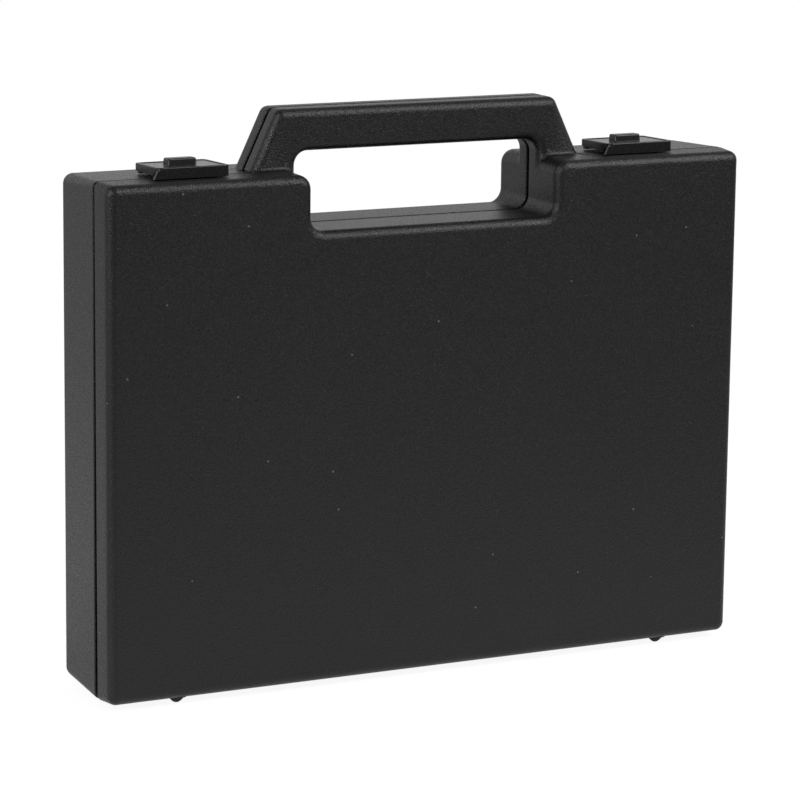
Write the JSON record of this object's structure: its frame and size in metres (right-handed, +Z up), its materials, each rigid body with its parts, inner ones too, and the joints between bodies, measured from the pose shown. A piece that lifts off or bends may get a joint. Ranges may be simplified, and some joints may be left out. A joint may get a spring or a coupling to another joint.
{
  "type": "plastic transit case",
  "caption": "Flat moulded plastic carrying case with a hinged lid, slide latches on the top and a two-half handle over a hand opening.",
  "frame": {"origin": "under the middle of the case, on the surface that its feet stand on", "axes": "+X along the case to the right, +Y from the lid's face to the base's face, +Z up through the handle"},
  "size_m": [0.3, 0.0536, 0.2459],
  "materials": {
    "shell_plastic": "fine moulded grain, black",
    "latch_plastic": "smooth satin, black",
    "pin_steel": "drawn wire",
    "foot_rubber": "matt black"
  },
  "bodies": {
    "base": {"base_shell": "shell_plastic", "hinge_pin_left": "pin_steel", "hinge_pin_right": "pin_steel", "foot_rear_left": "foot_rubber", "foot_rear_right": "foot_rubber"},
    "lid": {"lid_shell": "shell_plastic", "foot_front_left": "foot_rubber", "foot_front_right": "foot_rubber"},
    "latch_left": {"latch_slider_left": "latch_plastic"},
    "latch_right": {"latch_slider_right": "latch_plastic"}
  },
  "joints": [
    {"name": "lid_hinge", "type": "hinge", "parent": "base", "child": "lid", "pos_m": [0, -0.01205, 0.0026], "axis": [1, 0, 0], "range_deg": [0, 150]},
    {"name": "latch_left_slide", "type": "slide", "parent": "base", "child": "latch_left", "axis": [1, 0, 0], "range_m": [0, 0.008]},
    {"name": "latch_right_slide", "type": "slide", "parent": "base", "child": "latch_right", "axis": [1, 0, 0], "range_m": [0, 0.008]}
  ]
}
